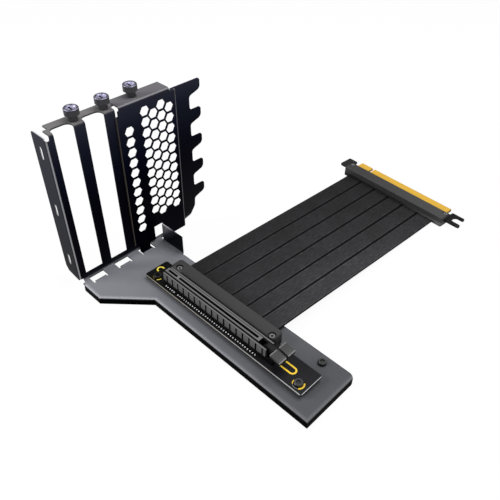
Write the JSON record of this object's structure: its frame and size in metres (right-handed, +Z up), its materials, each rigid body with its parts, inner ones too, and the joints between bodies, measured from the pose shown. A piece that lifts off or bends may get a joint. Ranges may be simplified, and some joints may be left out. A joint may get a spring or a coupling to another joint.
{
  "type": "vertical gpu bracket",
  "caption": "Slot frame with vented cover, base sheet and riser socket that holds a graphics card upright, joined by a flat ribbon to an edge plug.",
  "frame": {"origin": "centre of the bracket's bounding box without the ribbon and its plug, at the underside of the base rims, where it stands", "axes": "+X from the slot wall along the card socket, +Y across the slots towards the ribbon's plug, +Z up"},
  "size_m": [0.1918, 0.2567, 0.1232],
  "materials": {
    "frame_coat": "satin powder coat",
    "dark_screw": "black zinc",
    "laminate": "black solder mask",
    "moulding": "moulded, fine texture",
    "contact_metal": "gold plated",
    "ribbon_cover": "satin jacket"
  },
  "bodies": {
    "bracket": {"slot_frame": "frame_coat", "vent_panel": "frame_coat", "thumb_screws": "dark_screw", "riser_board": "laminate", "board_spacers": "dark_screw", "board_screws": "dark_screw", "base_screw": "dark_screw", "socket_housing": "moulding", "front_contacts": "contact_metal", "rear_contacts": "contact_metal", "clamp_base": "moulding", "clamp_cover": "moulding", "clamp_screws": "dark_screw", "plug_upper_shell": "moulding", "plug_lower_shell": "moulding", "plug_board": "laminate", "plug_screws": "dark_screw", "ribbon_strip_1": "ribbon_cover", "ribbon_strip_2": "ribbon_cover", "ribbon_strip_3": "ribbon_cover", "ribbon_strip_4": "ribbon_cover", "ribbon_strip_5": "ribbon_cover", "ribbon_strip_6": "ribbon_cover"},
    "latch": {"card_latch": "moulding"}
  },
  "joints": [
    {"name": "latch_hinge", "type": "hinge", "parent": "bracket", "child": "latch", "pos_m": [0.0511, -0.01765, 0.0122], "axis": [0, 1, 0], "range_deg": [0, 20]}
  ]
}
